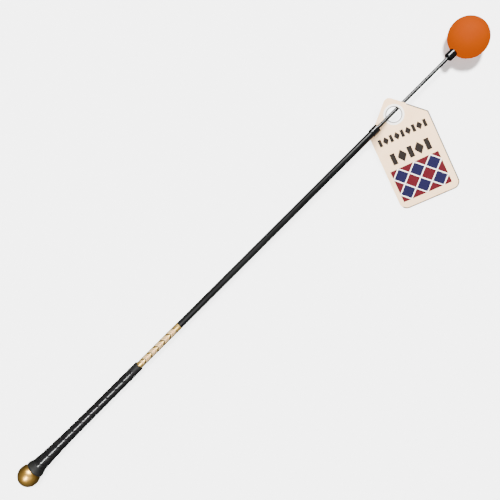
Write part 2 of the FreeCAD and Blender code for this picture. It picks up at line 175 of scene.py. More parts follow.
class ShaftSizes(bpy.types.PropertyGroup):
    """The foil band, the sleeve with its cap, the core rod and the ferrule."""

    sleeve_start: length("Sleeve start", 206, "Sleeve end inside the handle")
    sleeve_end: length("Sleeve end", 832, "Sleeve end inside its cap")
    sleeve_radius: length("Sleeve radius", 6.1, "Sleeve outside")
    sleeve_bore: length("Sleeve bore", 4.5, "Sleeve inside")
    band_start: length("Band start", 267, "Foil band, handle end")
    band_end: length("Band end", 363.8, "Foil band, head end")
    band_radius: length("Band radius", 6.25, "Foil band outside")
    band_bore: length("Band bore", 6.15, "Foil band inside")
    cap_start: length("Cap start", 821.6, "Sleeve cap, handle end")
    cap_end: length("Cap end", 836.8, "Sleeve cap, head end")
    cap_radius: length("Cap radius", 7.3, "Sleeve cap outside")
    cap_round: length("Cap rounding", 1.2, "Rounding of the cap's outer edges")
    rod_start: length("Rod start", 52, "Core rod end inside the handle")
    rod_end: length("Rod end", 1060, "Core rod end inside the head ball")
    rod_radius: length("Rod radius", 3.175, "Core rod outside")
    bead_start: length("Bead start", 1001.2, "Ferrule bead, handle end")
    bead_end: length("Bead end", 1015.6, "Where the bead meets the neck")
    bead_radius: length("Bead radius", 7.5, "Ferrule bead outside")
    bead_round: length("Bead rounding", 2.6, "Rounding of the bead")
    neck_end: length("Neck end", 1022, "Ferrule end inside the head ball")
    neck_radius: length("Neck radius", 6.7, "Ferrule neck outside")
    insert_start: length("Insert start", 1004, "Nose of the ball's metal insert")
    insert_end: length("Insert end", 1068, "Far end of the insert")
    insert_radius: length("Insert radius", 5.5, "Insert outside")
    flange_start: length("Flange start", 1034, "Insert flange, near side")
    flange_end: length("Flange end", 1040, "Insert flange, far side")
    flange_radius: length("Flange radius", 9, "Insert flange outside")
    black: colour("Shaft black", 0.0020, 0.0020, 0.0022, "Black plastic of the sleeve")
    gloss: colour("Gloss black", 0.0025, 0.0025, 0.0025, "Cap, ferrule and rod")
    foil: colour("Foil", 0.92, 0.60, 0.17, "Gold foil of the band")
    cream: colour("Print cream", 0.97, 0.66, 0.29, "Light shapes printed on the band")
    rose: colour("Print rose", 0.42, 0.12, 0.06, "Thin lines in the light shapes")
    brown: colour("Print brown", 0.050, 0.028, 0.008, "Outlines printed on the band")


class TagSizes(bpy.types.PropertyGroup):
    """The card tag and the ring round its hole, with its place on the rod."""

    width: length("Width", 105.6, "Card width")
    top: length("Top", 33.2, "Hole's middle to the virtual top corner")
    shoulder: length("Shoulder", -18.8, "Hole's middle to the shoulders")
    foot: length("Foot", -156.3, "Hole's middle to the foot")
    thickness: length("Thickness", 0.6, "Card stock")
    hole: length("Hole radius", 12.5, "Hole that the rod runs through")
    ring: length("Ring radius", 17.5, "Reinforcing ring outside")
    ring_thickness: length("Ring thickness", 0.2, "Reinforcing ring")
    top_round: length("Top rounding", 9.5, "Rounding of the top corner")
    shoulder_round: length("Shoulder rounding", 3, "Rounding of the shoulders")
    foot_round: length("Foot rounding", 13, "Rounding of the bottom corners")
    place: length("Place", 870.9, "Where the tag hangs, from the butt ball's centre")
    offset: length("Offset", 3.4, "Rod's axis to the hole's middle, sideways")
    lean: angle("Lean", 21, "Between the card and the rod")
    yaw: angle("Yaw", 20.4, "Turn in the card's own plane")
    roll: angle("Roll", 2.554, "Roll about the rod")
    card: colour("Card", 0.90, 0.600, 0.345, "Cream card")
    card_pale: colour("Card, pale", 0.94, 0.66, 0.40, "Paler fibres of the card")
    ring_white: colour("Ring", 0.95, 0.92, 0.87, "White paper ring")
    ink: colour("Ink", 0.007, 0.004, 0.0025, "Dark brown print")
    crimson: colour("Crimson", 0.070, 0.0020, 0.0060, "Crimson print")
    navy: colour("Navy", 0.0050, 0.0035, 0.0300, "Navy print")
    # Painted shade: this cut-edge colour is a thin dark line along the card's right and bottom edges and round the
    # ring's hole.
    edge: colour("Cut edge", 0.020, 0.018, 0.015, "Die-cut edges of the card and the ring")


class StudioSizes(bpy.types.PropertyGroup):
    """Camera, floor and lights."""

    camera_height: length("Camera height", 1127, "Camera above the floor")
    camera_x: length("Camera X", 4.86, "Camera's foot")
    camera_y: length("Camera Y", 70.9, "Camera's foot")
    camera_turn: angle("Camera turn", -44.91, "Turn of the picture about the vertical")
    lens: plain("Lens", 46.8, "Focal length in millimetres on a 36 mm sensor")
    floor: length("Floor", 8000, "Width of the floor")
    pale: colour("Floor colour", 0.86, 0.86, 0.86, "Pale floor")
    glow: plain("Floor glow", 0.22, "Light that the floor gives back of itself")
    backdrop: plain("Backdrop", 5.0, "Pale backdrop behind the floor's edge")
    sky: plain("Sky", 0.24, "Soft light from all round")


SIZE_GROUPS = {
    "stick_balls": BallSizes,
    "stick_grip": GripSizes,
    "stick_shaft": ShaftSizes,
    "stick_tag": TagSizes,
    "stick_studio": StudioSizes,
}


# ---- surfaces -------------------------------------------------------------------------------


def rounded(corners, steps=8):
    """Points round a closed polygon whose corners (x, y, radius) are rounded.

    At each corner the arc starts and ends radius / tan(half the corner's angle) away from it, its
    centre lies on the line that halves the angle at radius / sin(half), and its points swing evenly
    from one end of the arc to the other, mixed by sin((1 - t) swing) and sin(t swing)."""
    corners = np.array(corners, float)
    points = []
    for before, corner, after in zip(np.roll(corners, 1, 0), corners, np.roll(corners, -1, 0)):
        middle = corner[:2]
        if corner[2] <= 0:
            points.append(middle[None])
            continue
        back = (before[:2] - middle) / np.linalg.norm(before[:2] - middle)
        onward = (after[:2] - middle) / np.linalg.norm(after[:2] - middle)
        half = math.acos(float(np.clip(back @ onward, -1, 1))) / 2
        reach = corner[2] / math.tan(half)
        inward = (back + onward) / np.linalg.norm(back + onward)
        centre = middle + inward * corner[2] / math.sin(half)
        first = middle + back * reach - centre
        last = middle + onward * reach - centre
        swing = math.pi - 2 * half
        t = np.linspace(0, 1, steps + 1)[:, None]
        points.append(centre + (np.sin((1 - t) * swing) * first + np.sin(t * swing) * last) / math.sin(swing))
    return np.concatenate(points)


def closed(points):
    """The same points with the first repeated at the end."""
    return np.concatenate([points, points[:1]])


def divided(points, longest):
    """A polyline with points added evenly on every run that is longer than longest."""
    pieces = []
    for start, end in zip(points[:-1], points[1:]):
        count = max(1, math.ceil(np.linalg.norm(end - start) / longest))
        pieces.append(start + (end - start) * np.arange(count)[:, None] / count)
    return np.concatenate([*pieces, points[-1:]])


def arc(centre, radius, start, end, steps):
    """Profile points (centre - radius cos t, radius sin t) with t even from start to end."""
    t = np.linspace(start, end, steps + 1)
    return np.stack([centre - radius * np.cos(t), radius * np.sin(t)], axis=1)


def skin(name, points, places, sharp=32):
    """A mesh over a grid of points, with one quad between every four neighbours.

    points is rows x columns x 3 in the row frame, and places is rows x columns x 2 for the UV map.
    Where a seam or a pole repeats a point, the repeats are welded, so that the surface is closed."""
    rows, columns = points.shape[:2]
    index = np.arange(rows * columns).reshape(rows, columns)
    around = [index[:-1, :-1], index[1:, :-1], index[1:, 1:], index[:-1, 1:]]
    quads = np.stack(around, axis=-1).reshape(-1, 4)
    mesh = bpy.data.meshes.new(name)
    mesh.from_pydata(points.reshape(-1, 3).tolist(), [], quads.tolist())
    layer = mesh.uv_layers.new(name="surface")
    layer.data.foreach_set("uv", places.reshape(-1, 2)[quads.ravel()].astype(np.float32).ravel())
    work = bmesh.new()
    work.from_mesh(mesh)
    bmesh.ops.remove_doubles(work, verts=work.verts, dist=WELD)
    bmesh.ops.recalc_face_normals(work, faces=work.faces)
    work.to_mesh(mesh)
    work.free()
    mesh.polygons.foreach_set("use_smooth", np.ones(len(mesh.polygons), bool))
    mesh.set_sharp_from_angle(angle=math.radians(sharp))
    piece = bpy.data.objects.new(name, mesh)
    bpy.context.scene.collection.objects.link(piece)
    return piece


def turned(name, profile, around=96, sharp=32):
    """A surface of revolution: a profile (distance along, radius) carried round the stick's axis.

    The point at share v of a turn is the axis point at that distance, plus radius times
    (cos v towards the side, sin v upwards). The profile ends on the axis or where it began.
    The UV map is (distance along, share of the turn)."""
    profile = np.asarray(profile, float)
    share = np.linspace(0, 1, around + 1)
    along = profile[:, 0][:, None]
    radius = profile[:, 1][:, None]
    points = on_stick(along, radius * np.cos(TURN * share), radius * np.sin(TURN * share))
    points[:, -1] = points[:, 0]
    places = np.stack(np.broadcast_arrays(along, share[None]), axis=-1)
    return skin(name, points, places, sharp)


def grip_radius(grip, along):
    """Radius over the wrap: the mouth's radius plus the flare times exp(-distance from the butt / taper)."""
    flare = grip.butt_radius - grip.mouth_radius
    return grip.mouth_radius + flare * np.exp(-(along - grip.wrap_start) / grip.taper)


def wound(name, grip, around=112):
    """The strip wound round the grip in overlapping turns, as a closed skin.

    Row q and column v lie at distance start + pitch (q + v), held between the two ends, so a row
    follows the strip's edge and row q meets row q + 1 after one turn. The radius is the grip's taper
    plus a lift that depends only on how far q is through its turn, and that dies away at both ends.
    Two rings at the ends and a plain tapered face underneath close it."""
    through = np.array([0, 0.014, 0.03, 0.05, 0.075, 0.11, 0.16, 0.23, 0.32, 0.42, 0.52, 0.62, 0.72,
                        0.81, 0.88, 0.93, 0.962, 0.985])
    lift = np.array([-0.62, -0.55, -0.30, -0.02, 0.15, 0.24, 0.27, 0.25, 0.20, 0.15, 0.09, 0.04,
                     -0.02, -0.08, -0.14, -0.22, -0.36, -0.54]) * MM
    turns = math.ceil((grip.wrap_end - grip.wrap_start) / grip.pitch)
    rows = (np.arange(-1, turns + 1)[:, None] + through).ravel()
    lifts = np.tile(lift, turns + 2)
    share = np.linspace(0, 1, around + 1)
    along = np.clip(
        grip.wrap_start + grip.pitch * (rows[:, None] + share), grip.wrap_start, grip.wrap_end
    )
    from_end = np.minimum(along - grip.wrap_start, grip.wrap_end - along)
    radius = grip_radius(grip, along) + lifts[:, None] * np.clip(from_end / (2.5 * MM), 0, 1)
    under = np.linspace(grip.wrap_end, grip.wrap_start, 60)[:, None] + 0 * share
    along = np.concatenate([along, under, along[:1]])
    radius = np.concatenate([radius, grip_radius(grip, under) - grip.strip, radius[:1]])
    points = on_stick(along, radius * np.cos(TURN * share), radius * np.sin(TURN * share))
    places = np.stack([along, share + 0 * along], axis=-1)
    return skin(name, points, places, sharp=50)


def tag_points(tag, across, upward, proud):
    """Row-frame points of the tag.

    A point (across, upward, proud of the card's middle plane) is turned by yaw in the card's plane,
    leaned about the stick's sideways direction, slipped sideways off the rod's axis, rolled about
    the rod, and carried to the tag's place along the stick."""
    x = across * math.cos(tag.yaw) + upward * math.sin(tag.yaw)
    y = upward * math.cos(tag.yaw) - across * math.sin(tag.yaw)
    along = x * math.cos(tag.lean) - proud * math.sin(tag.lean)
    height = x * math.sin(tag.lean) + proud * math.cos(tag.lean)
    side = y - tag.offset
    return on_stick(
        tag.place + along,
        side * math.cos(tag.roll) + height * math.sin(tag.roll),
        height * math.cos(tag.roll) - side * math.sin(tag.roll),
    )


def tag_outline(tag):
    """The card's rounded outline, counted from the top corner towards the head's side."""
    half = tag.width / 2
    corners = [
        (0, tag.top, tag.top_round),
        (half, tag.shoulder, tag.shoulder_round),
        (half, tag.foot, tag.foot_round),
        (-half, tag.foot, tag.foot_round),
        (-half, tag.shoulder, tag.shoulder_round),
    ]
    return divided(closed(rounded(corners, 14)), 4 * MM)


def mark_distance(piece, tag, outline, hole):
    """Keeps in a second UV map how far each point of a sheet is from its nearest cut edge, in metres.

    The distance to a run of the outline is the length from the point to the nearest place on it, which
    is the run's start plus the run times the point's share along it, held between 0 and 1. The
    distance to the hole is the difference from its radius. The least of them is kept."""
    count = len(piece.data.vertices)
    place = np.empty(count * 3)
    piece.data.vertices.foreach_get("co", place)
    origin = tag_points(tag, 0.0, 0.0, 0.0)
    axes = np.stack([tag_points(tag, 1.0, 0.0, 0.0), tag_points(tag, 0.0, 1.0, 0.0)]) - origin
    flat = (place.reshape(-1, 3) - origin) @ axes.T
    start = outline[:-1]
    run = outline[1:] - start
    square = np.maximum((run ** 2).sum(1), 1e-18)
    share = np.clip(((flat[:, None] - start) * run).sum(2) / square, 0, 1)
    nearest = start + run * share[..., None]
    to_outline = np.linalg.norm(flat[:, None] - nearest, axis=2).min(1)
    to_hole = np.abs(np.linalg.norm(flat, axis=1) - hole)
    distance = np.minimum(to_outline, to_hole)
    corner = np.empty(len(piece.data.loops), np.int32)
    piece.data.loops.foreach_get("vertex_index", corner)
    places = np.stack([distance[corner], 0 * distance[corner]], axis=1)
    layer = piece.data.uv_layers.new(name="edge")
    layer.data.foreach_set("uv", places.astype(np.float32).ravel())


def sheet_with_hole(name, tag, outline, hole, low, high, bevel):
    """A flat sheet between a round hole and an outline, closed over both faces and both edges.

    Every outline point is joined to the hole's rim in its own direction. Face rows lie at set shares
    between the two, closest by the edges, and next to each edge a small bevel is cut. The UV map is (across, upward) in
    metres, with 1 m taken off the lower face so that print on the upper one doesn't show below."""
    reach = np.linalg.norm(outline, axis=1, keepdims=True)
    rim = outline / reach * hole
    shares = np.array([0, 0.004, 0.008, 0.012, 0.02, 0.06, 0.15, 0.3, 0.45, 0.6, 0.75, 0.88, 0.96, 0.98, 0.985,
                       0.99, 0.995, 1])[:, None, None]
    in_share = bevel / (reach - hole)
    shares = in_share + shares * (1 - 2 * in_share)
    face = rim + (outline - rim) * shares
    levels = np.concatenate([face, outline[None], outline[None], face[::-1], rim[None], rim[None], face[:1]])
    count = len(face)
    heights = np.concatenate([
        np.full(count, high), [high - bevel, low + bevel], np.full(count, low),
        [low + bevel, high - bevel], [high],
    ])
    points = tag_points(tag, levels[..., 0], levels[..., 1], heights[:, None])
    places = levels.copy()
    places[count + 1:2 * count + 3, :, 1] -= 1
    piece = skin(name, points, places, sharp=30)
    mark_distance(piece, tag, outline, hole)
    return piece


# ---- finishes -------------------------------------------------------------------------------


class Value:
    """A number that varies over a surface. Arithmetic on it adds Math nodes."""

    def __init__(self, finish, socket):
        self.finish = finish
        self.socket = socket

    def __add__(self, other):
        return self.finish.math("ADD", self, other)

    __radd__ = __add__

    def __sub__(self, other):
        return self.finish.math("SUBTRACT", self, other)

    def __rsub__(self, other):
        return self.finish.math("SUBTRACT", other, self)

    def __mul__(self, other):
        return self.finish.math("MULTIPLY", self, other)

    __rmul__ = __mul__

    def __truediv__(self, other):
        return self.finish.math("DIVIDE", self, other)

    def __gt__(self, other):
        return self.finish.math("GREATER_THAN", self, other)

    def __lt__(self, other):
        return self.finish.math("LESS_THAN", self, other)

    def __abs__(self):
        return self.finish.math("ABSOLUTE", self)

    def part(self):
        """What is left of it after whole numbers are taken off."""
        return self.finish.math("FRACT", self)

    def whole(self):
        """The whole number below it."""
        return self.finish.math("FLOOR", self)

    def least(self, other):
        """The lesser of the two."""
        return self.finish.math("MINIMUM", self, other)

    def most(self, other):
        """The greater of the two."""
        return self.finish.math("MAXIMUM", self, other)

    def wave(self):
        """Its sine."""
        return self.finish.math("SINE", self)

    def ramp(self, low, high):
        """0 below low, 1 above high and smooth between."""
        values = {"Value": self, "From Min": low, "From Max": high, "To Min": 0, "To Max": 1}
        settings = {"interpolation_type": "SMOOTHSTEP"}
        return Value(self.finish, self.finish.node("ShaderNodeMapRange", settings, values).outputs[0])


class Finish:
    """A node material being built: its nodes, and the shader that they feed."""

    def __init__(self, name, **constants):
        self.material = bpy.data.materials.new(name)
        self.material.use_nodes = True
        self.tree = self.material.node_tree
        self.shader = next(n for n in self.tree.nodes if n.type == "BSDF_PRINCIPLED")
        for label, value in constants.items():
            self.shader.inputs[label.replace("_", " ")].default_value = value

    def node(self, kind, settings=None, values=None):
        """A node of that kind. settings are set first, then each socket is set or linked."""
        node = self.tree.nodes.new(kind)
        for label, value in (settings or {}).items():
            setattr(node, label, value)
        for label, value in (values or {}).items():
            self.feed(node.inputs[label], value)
        return node

    def feed(self, socket, value):
        """Links a Value or a socket, or sets a number or a colour."""
        if isinstance(value, Value):
            value = value.socket
        if isinstance(value, bpy.types.NodeSocket):
            self.tree.links.new(value, socket)
        elif socket.type == "RGBA":
            socket.default_value = (*value[:3], 1)
        else:
            socket.default_value = value

    def math(self, operation, *numbers):
        """A Math node's result."""
        values = dict(enumerate(numbers))
        return Value(self, self.node("ShaderNodeMath", {"operation": operation}, values).outputs[0])

    def surface(self, layer="surface"):
        """One of the piece's own UV maps, as two Values."""
        split = self.node("ShaderNodeSeparateXYZ", values={
            "Vector": self.node("ShaderNodeUVMap", {"uv_map": layer}).outputs[0]
        })
        return Value(self, split.outputs[0]), Value(self, split.outputs[1])

    def vector(self, x, y, z):
        """Three Values joined into a vector."""
        return self.node("ShaderNodeCombineXYZ", values={"X": x, "Y": y, "Z": z}).outputs[0]

    def rolled(self, radius, stretch=1.0):
        """A place on a turned surface with no seam: distance along, then radius times cos and sin."""
        along, share = self.surface()
        turn = share * TURN
        side = self.math("COSINE", turn) * radius
        return self.vector(along * stretch, side, turn.wave() * radius)

    def in_place(self):
        """The point in the piece's own space."""
        return self.node("ShaderNodeTexCoord").outputs["Object"]

    def noise(self, where, scale, detail=2.0, roughness=0.5):
        """Cloudy noise from 0 to 1 with that many lumps in a metre."""
        values = {"Vector": where, "Scale": scale, "Detail": detail, "Roughness": roughness}
        return Value(self, self.node("ShaderNodeTexNoise", values=values).outputs[0])

    def cells(self, where, scale):
        """Distance to the nearest of many scattered points."""
        return Value(self, self.node("ShaderNodeTexVoronoi", values={"Vector": where, "Scale": scale}).outputs[0])

    def mix(self, share, first, second):
        """A colour between two others."""
        node = self.node("ShaderNodeMix", {"data_type": "RGBA"})
        self.feed(node.inputs[0], share)
        self.feed(node.inputs[6], first)
        self.feed(node.inputs[7], second)
        return node.outputs[2]

    def set(self, label, value):
        """Feeds one of the shader's sockets."""
        self.feed(self.shader.inputs[label], value)

    def bump(self, height, depth, strength=1.0):
        """Raises the surface by depth metres where height is 1."""
        values = {"Height": height, "Distance": depth, "Strength": strength}
        self.set("Normal", self.node("ShaderNodeBump", values=values).outputs[0])


def painted(piece, finish):
    """Gives a piece its finish in place of any it had."""
    piece.data.materials.clear()
    piece.data.materials.append(finish.material)
    return piece


def brass_finish(balls):
    """Satin brass with fine lathe rings round the stick's axis and handled patches."""
    finish = Finish("satin_brass", Metallic=1.0)
    where = finish.rolled(12 * MM)
    patches = finish.noise(where, 70, 3)
    along, share = finish.surface()
    rings = finish.noise(finish.vector(along * 2600, 0.0, 0.0), 1, 2)
    finish.set("Base Color", finish.mix(patches.ramp(0.40, 0.68), balls.brass, balls.brass_dark))
    finish.set("Roughness", 0.27 + 0.10 * patches + 0.06 * rings)
    finish.bump(rings, 0.012 * MM)
    return finish


def head_rubber_finish(balls):
    """Matte moulded rubber with a fine grain. Its emission is a painted glow that evens out the ball's shading, though
    the ball is no lamp.
    """
    finish = Finish("head_rubber", Specular_IOR_Level=0.02)
    # Painted glow: the rubber's emission makes it shine like a lamp, which it is not.
    finish.shader.inputs["Emission Color"].default_value = (*balls.painted_glow, 1)
    finish.shader.inputs["Emission Strength"].default_value = balls.painted_glow_strength
    where = finish.in_place()
    clouds = finish.noise(where, 28, 3)
    grain = finish.noise(where, 1500, 2)
    finish.set("Base Color", finish.mix(clouds.ramp(0.35, 0.70), balls.rubber, balls.rubber_deep))
    finish.set("Roughness", 0.56 + 0.10 * clouds)
    finish.bump(grain, 0.03 * MM)
    return finish


def underlisting_finish(grip):
    """Moulded black rubber with random worn grey patches. The butt lip is painted a little paler, as painted sheen."""
    finish = Finish("grip_rubber", Specular_IOR_Level=0.3, Sheen_Weight=0.7, Sheen_Roughness=0.2)
    where = finish.rolled(12 * MM)
    scuffs = finish.noise(where, 240, 4, 0.6)
    along, share = finish.surface()
    # Mask of the butt lip, which gets the paler lip colour as painted sheen.
    wear_and_sheen = 1 - along.ramp(grip.lip_end - 2 * MM, grip.wrap_start - 1 * MM)
    black = finish.mix(scuffs.ramp(0.45, 0.80), grip.rubber, grip.worn)
    finish.set("Base Color", finish.mix(wear_and_sheen, black, grip.lip))
    finish.set("Roughness", 0.46 + 0.16 * scuffs)
    finish.bump(finish.noise(where, 2200, 2), 0.03 * MM)
    return finish


def wrap_finish(grip):
    """Tacky strip with rows of small punched holes that follow its turns, and a pebbled skin."""
    finish = Finish("grip_wrap", Specular_IOR_Level=0.5)
    along, share = finish.surface()
    where = finish.rolled(10 * MM)
    through = ((along - grip.wrap_start) / grip.pitch - share).part()
    row = through * 7
    turn = share * 22 + 0.5 * row.whole()
    from_hole_x = (row.part() - 0.5) * (grip.pitch / 7 / MM)
    from_hole_y = (turn.part() - 0.5) * 2.9
    from_hole = finish.math("SQRT", from_hole_x * from_hole_x + from_hole_y * from_hole_y)
    hole = 1 - from_hole.ramp(0.28, 0.48)
    clear_of_seam = through.ramp(0.06, 0.09) * (1 - through.ramp(0.93, 0.96))
    hole = hole * clear_of_seam
    pebbles = finish.cells(where, 1500)
    scuffs = finish.noise(where, 180, 4, 0.6)
    finish.set("Base Color", finish.mix(scuffs.ramp(0.42, 0.82), grip.rubber, grip.worn))
    finish.set("Roughness", 0.14 + 0.10 * scuffs + 0.25 * hole)
    finish.bump(pebbles * 0.05 - hole, 0.03 * MM, 0.4)
    return finish


def foil_finish(shaft):
    """Gold foil printed with cream chevrons and bars that have brown outlines."""
    finish = Finish("gold_foil")
    along, share = finish.surface()
    where = finish.rolled(6 * MM)
    reach = shaft.band_end - shaft.band_start
    placed = (along - shaft.band_start) / reach
    slant = abs((share * 2).part() - 0.5)
    step = (placed * 6.5 + slant * 1.3).part()
    body = step.ramp(0.19, 0.20) * (1 - step.ramp(0.84, 0.85))
    outline = step.ramp(0.01, 0.02) * (1 - step.ramp(0.19, 0.20))
    side_line = (slant > 0.30) * (slant < 0.35)
    core = ((step > 0.35) * (step < 0.43)).most((step > 0.60) * (step < 0.68)) * (slant < 0.20)
    inside = placed.ramp(0.075, 0.080) * (1 - placed.ramp(0.905, 0.910))
    printed = inside * (slant < 0.30)
    cream = body * printed * (1 - core)
    brown = outline * printed + side_line * inside
    tarnish = finish.noise(where, 160, 3)
    ground = finish.mix(tarnish.ramp(0.40, 0.75), shaft.foil, (0.66, 0.41, 0.11))
    colour_ = finish.mix(brown, finish.mix(cream, ground, shaft.cream), shaft.brown)
    colour_ = finish.mix(core * body * printed, colour_, shaft.rose)
    finish.set("Base Color", colour_)
    finish.set("Metallic", (1 - cream * 0.6) * (1 - brown * 0.9) * 0.9)
    finish.set("Roughness", 0.26 + 0.16 * tarnish + 0.10 * cream)
    finish.bump(finish.noise(where, 420, 2) + cream * 0.3, 0.05 * MM, 0.6)
    return finish


def sleeve_finish(shaft):
    """Satin extruded plastic: faint lines along its length, and a slightly uneven sheen."""
    finish = Finish("satin_sleeve", Specular_IOR_Level=0.28)
    drawn = finish.noise(finish.rolled(6 * MM, 0.02), 900, 2)
    clouds = finish.noise(finish.rolled(6 * MM, 0.4), 60, 3)
    finish.set("Base Color", finish.mix(clouds.ramp(0.35, 0.75), shaft.black, (0.005, 0.005, 0.0054)))
    along, share = finish.surface()
    towards_cap = along.ramp(0.55, 0.82)
    finish.set("Roughness", 0.32 + 0.08 * clouds + 0.05 * drawn - 0.17 * towards_cap)
    return finish


def gloss_finish(name, shaft, roughness):
    """Gloss black moulding with faint handling marks."""
    finish = Finish(name, Specular_IOR_Level=0.5)
    marks = finish.noise(finish.in_place(), 320, 4, 0.6)
    finish.set("Base Color", finish.mix(marks.ramp(0.5, 0.8), shaft.gloss, shaft.black))
    finish.set("Roughness", roughness + 0.10 * marks.ramp(0.45, 0.75))
    finish.bump(marks, 0.015 * MM)
    return finish


def rod_finish(shaft):
    """Pultruded fibre rod: gloss black with fibres along its length."""
    finish = Finish("fibre_rod", Specular_IOR_Level=0.48)
    fibres = finish.noise(finish.rolled(3 * MM, 0.015), 2600, 3)
    finish.set("Base Color", finish.mix(fibres.ramp(0.5, 0.85), shaft.gloss, (0.010, 0.010, 0.0105)))
    finish.set("Roughness", 0.07 + 0.05 * fibres)
    return finish


def card_finish(tag):
    """Cream card with fibres, printed on its upper face with two rows of marks and a diamond panel. Its right and
    bottom edges get a thin line of painted shade.
    """
    finish = Finish("cream_card", Specular_IOR_Level=0.12)
    across, upward = finish.surface()
    where = finish.in_place()
    fibres = finish.noise(where, 420, 4, 0.65)
    clouds = finish.noise(where, 45, 3)
    ground = finish.mix((fibres * 0.5 + clouds * 0.5).ramp(0.38, 0.66), tag.card, tag.card_pale)

    def marks(centre, width, height, count):
        """A row of lozenges and bars in turn, as a mask."""
        step = (across / width + 0.5) * count
        cell = abs(step.part() - 0.5)
        level = abs(upward - centre) / height
        lozenge = cell + level < 0.56
        bar = (cell < 0.28) * (level < 0.5)
        odd = (step * 0.5).part() > 0.5
        return (lozenge * odd + bar * (1 - odd)) * (abs(across) < width / 2)

    first = marks(-34.5 * MM, 90 * MM, 13.0 * MM, 9)
    second = marks(-68.6 * MM, 76 * MM, 20 * MM, 5)
    ink = first.most(second)

    panel_x = (across + 2 * MM) / (28.7 * MM)
    panel_y = (upward + 115 * MM) / (28.5 * MM)
    panel = (abs(panel_x) < 1.5) * (abs(panel_y) < 1.0)
    rising = panel_x + panel_y
    falling = panel_x - panel_y
    off_rise = abs(rising.part() - 0.5)
    off_fall = abs(falling.part() - 0.5)
    diamond = off_rise.most(off_fall) < 0.455
    blue = ((rising.whole() + falling.whole()) * 0.5).part().part() > 0.25
    weave = finish.mix(diamond, (0.90, 0.80, 0.76), finish.mix(blue, tag.crimson, tag.navy))

    colour_ = finish.mix(panel, ground, weave)
    colour_ = finish.mix(ink, colour_, tag.ink)
    from_edge, unused = finish.surface("edge")
    # Painted shade: a thin dark line along the card's right and bottom edges only, the sides left in shade.
    edge_shade = 1 - from_edge.ramp(1.5 * MM, 1.9 * MM)
    shaded_sides = (across > 25 * MM).most(upward < tag.foot + 6 * MM)
    colour_ = finish.mix(edge_shade * shaded_sides, colour_, tag.edge)
    finish.set("Base Color", colour_)
    finish.set("Roughness", 0.62 + 0.12 * fibres - 0.12 * ink)
    finish.bump(fibres + 0.4 * ink, 0.03 * MM, 0.6)
    return finish


def ring_finish(tag):
    """White paper ring, a little smoother than the card, with a thin line of painted shade round its hole."""
    finish = Finish("paper_ring", Specular_IOR_Level=0.3)
    fibres = finish.noise(finish.in_place(), 500, 4, 0.6)
    across, upward = finish.surface()
    from_middle = finish.math("SQRT", across * across + upward * upward)
    paper = finish.mix(fibres.ramp(0.3, 0.8), tag.ring_white, (0.90, 0.84, 0.76))
    # Painted shade: a dark line round the hole's rim.
    finish.set("Base Color", finish.mix(from_middle < tag.hole + 1.5 * MM, paper, tag.edge))
    finish.set("Roughness", 0.50 + 0.15 * fibres)
    finish.bump(fibres, 0.02 * MM, 0.5)
    return finish


def hardware_finish(name, light, dark, metallic, roughness, lumps):
    """A worked surface that varies between two colours, with a fine grain."""
    finish = Finish(name, Metallic=metallic)
    where = finish.in_place()
    cloud = finish.noise(where, lumps, 4, 0.6)
    finish.set("Base Color", finish.mix(cloud.ramp(0.35, 0.7), light, dark))
    finish.set("Roughness", roughness + 0.12 * cloud)
    finish.bump(finish.noise(where, 2400, 2), 0.02 * MM)
    return finish


# ---- pieces ---------------------------------------------------------------------------------


class StickOperator:
    """What the operators share: a place in the panel, and the scene's size groups."""

    bl_options = {"REGISTER"}

    def execute(self, context):
        self.make(context.scene)
        return {"FINISHED"}


class MakeCounterweight(StickOperator, bpy.types.Operator):
    """Brass ball at the butt, with its seat flat and stud hole"""

    bl_idname = "swing_stick.counterweight"
    bl_label = "Counterweight"

    def make(self, scene):
        balls = scene.stick_balls
        flat = math.pi - math.acos(balls.seat / BUTT_RADIUS)
        hole = np.array([
            (balls.seat, balls.stud_radius),
            (balls.stud_depth, balls.stud_radius),
            (balls.stud_depth, 0),
        ])
        profile = np.concatenate([arc(0, BUTT_RADIUS, 0, flat, 72), hole])
        piece = painted(turned("counterweight", profile, 144), brass_finish(balls))
        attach(piece, "handle")
        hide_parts("counterweight_ball")


class MakeUnderlisting(StickOperator, bpy.types.Operator):
    """Rubber tube of the grip, with its butt lip, cup and mouth collar"""

    bl_idname = "swing_stick.underlisting"
    bl_label = "Grip rubber"

    def make(self, scene):
        grip = scene.stick_grip
        under = np.linspace(grip.wrap_start, grip.wrap_end, 40)
        barrel = [(along, grip_radius(grip, along) - grip.strip, 0) for along in under]
        corners = [
            (grip.cup_end, grip.bore_radius, 0),
            (grip.lip_start, grip.cup_radius, 0.35 * MM),
            (grip.lip_start, grip.lip_radius, 0.9 * MM),
            (grip.lip_end, grip.lip_radius, 0.9 * MM),
            (grip.wrap_start, grip.butt_radius, 0.3 * MM),
            *barrel,
            (grip.wrap_end, grip.collar_radius, 0.3 * MM),
            (grip.end, grip.collar_radius, 0.9 * MM),
            (grip.end, grip.mouth_bore, 0.3 * MM),
            (grip.bore_end, grip.mouth_bore, 0),
            (grip.bore_end, grip.bore_radius, 0),
        ]
        piece = turned("grip_rubber", divided(closed(rounded(corners)), 4 * MM), 112)
        painted(piece, underlisting_finish(grip))
        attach(piece, "handle")
        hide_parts("grip_underlisting")


class MakeWrap(StickOperator, bpy.types.Operator):
    """Strip wound round the grip in overlapping turns"""

    bl_idname = "swing_stick.wrap"
    bl_label = "Grip wrap"

    def make(self, scene):
        grip = scene.stick_grip
        piece = painted(wound("wound_strip", grip), wrap_finish(grip))
        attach(piece, "handle")
        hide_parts("grip_wrap")


def bends_with_shaft(piece, scene):
    """Bakes the piece's placement into its mesh. It also works out the span from the grip's mouth to as far past the
    flex hinge again, which nothing uses.
    """
    hinge = next(joint for joint in frame["joints"] if joint["name"] == "shaft_flex")
    start = on_stick(scene.stick_shaft.band_start, 0, 0)
    middle = float((np.array(hinge["pos_m"]) - BUTT_CENTRE) @ ALONG)
    end = on_stick(2 * middle - scene.stick_shaft.band_start, 0, 0)
    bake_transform(piece)


